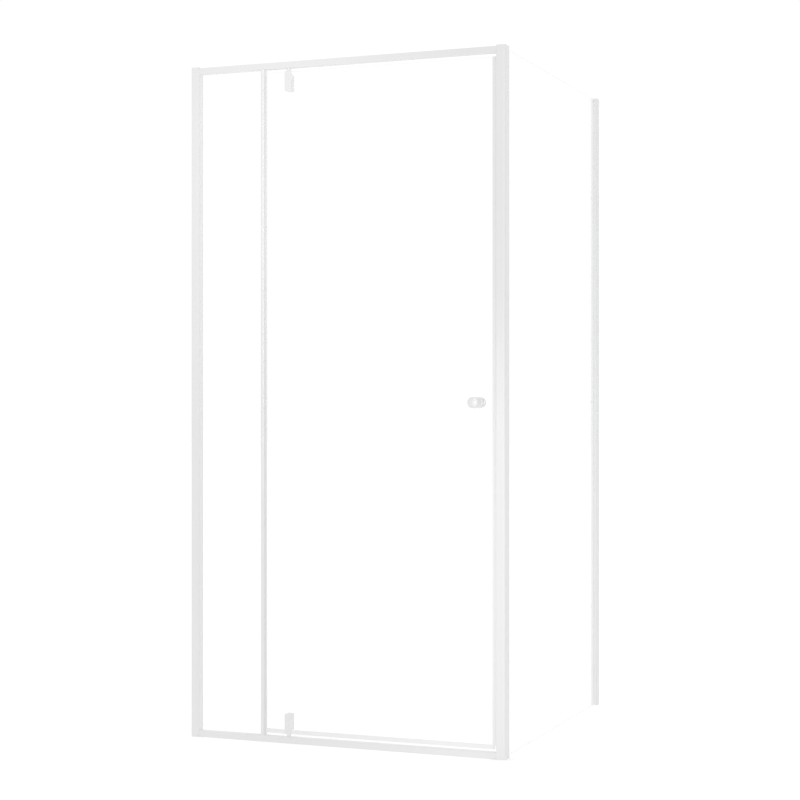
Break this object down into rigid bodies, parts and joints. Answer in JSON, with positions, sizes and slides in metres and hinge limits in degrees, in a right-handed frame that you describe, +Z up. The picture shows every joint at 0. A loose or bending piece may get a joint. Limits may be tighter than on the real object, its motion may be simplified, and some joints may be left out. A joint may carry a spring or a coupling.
{
  "type": "pivot shower door with return side panel",
  "caption": "White-framed corner shower front: a fixed in-line glass panel, a pivot glass door with a round knob, and a frameless return side panel between wall profiles.",
  "frame": {"origin": "on the floor, under the middle of the box round the whole set", "axes": "+X right along the front, +Y from the front into the enclosure, +Z up"},
  "size_m": [0.912, 0.949, 1.85],
  "materials": {
    "white_frame": "white powder coat on extruded aluminium, soft gloss",
    "white_plastic": "moulded white plastic",
    "nylon": "natural nylon",
    "clear_glass": "clear toughened glass with ground edges",
    "gasket": "pale glazing gasket",
    "clear_seal": "clear extruded seal",
    "milky_seal": "translucent extruded seal",
    "magnet": "bonded magnet strip, pale sheath",
    "steel": "stainless steel",
    "white_fitting": "white coated die casting"
  },
  "bodies": {
    "frame": {"bottom_infill": "white_plastic", "bottom_pivot_bush": "nylon", "bottom_rail": "white_frame", "corner_post": "white_frame", "front_channel_cap": "white_plastic", "front_jamb": "white_frame", "front_lock_screws": "steel", "front_screw_caps": "white_plastic", "front_wall_channel": "white_frame", "inline_gasket_bottom": "gasket", "inline_gasket_jamb": "gasket", "inline_gasket_mullion": "gasket", "inline_gasket_top": "gasket", "inline_glass": "clear_glass", "mullion": "white_frame", "mullion_screws": "steel", "mullion_seal": "clear_seal", "post_cap": "white_plastic", "post_strike_magnet": "magnet", "post_strike_seal": "milky_seal", "rail_screws_jamb": "steel", "rail_screws_post": "steel", "side_channel_cap": "white_plastic", "side_gasket_post": "gasket", "side_gasket_wall": "gasket", "side_glass": "clear_glass", "side_jamb": "white_frame", "side_lock_screws": "steel", "side_screw_caps": "white_plastic", "side_setting_blocks": "clear_seal", "side_wall_channel": "white_frame", "top_infill": "white_plastic", "top_pivot_bush": "nylon", "top_rail": "white_frame"},
    "door": {"bottom_hinge_body": "white_fitting", "bottom_hinge_gaskets": "gasket", "bottom_hinge_plate": "white_fitting", "bottom_hinge_screws": "steel", "bottom_pivot_pin": "steel", "door_drip_seal": "milky_seal", "door_edge_magnet": "magnet", "door_edge_seal": "milky_seal", "door_glass": "clear_glass", "knob_inner": "white_fitting", "knob_outer": "white_fitting", "knob_sleeve": "nylon", "knob_stud": "steel", "knob_washers": "clear_seal", "top_hinge_body": "white_fitting", "top_hinge_gaskets": "gasket", "top_hinge_plate": "white_fitting", "top_hinge_screws": "steel", "top_pivot_pin": "steel"}
  },
  "joints": [
    {"name": "door_pivot", "type": "hinge", "parent": "frame", "child": "door", "pos_m": [-0.1653, -0.4395, 0], "axis": [0, 0, -1], "range_deg": [0, 110]}
  ]
}
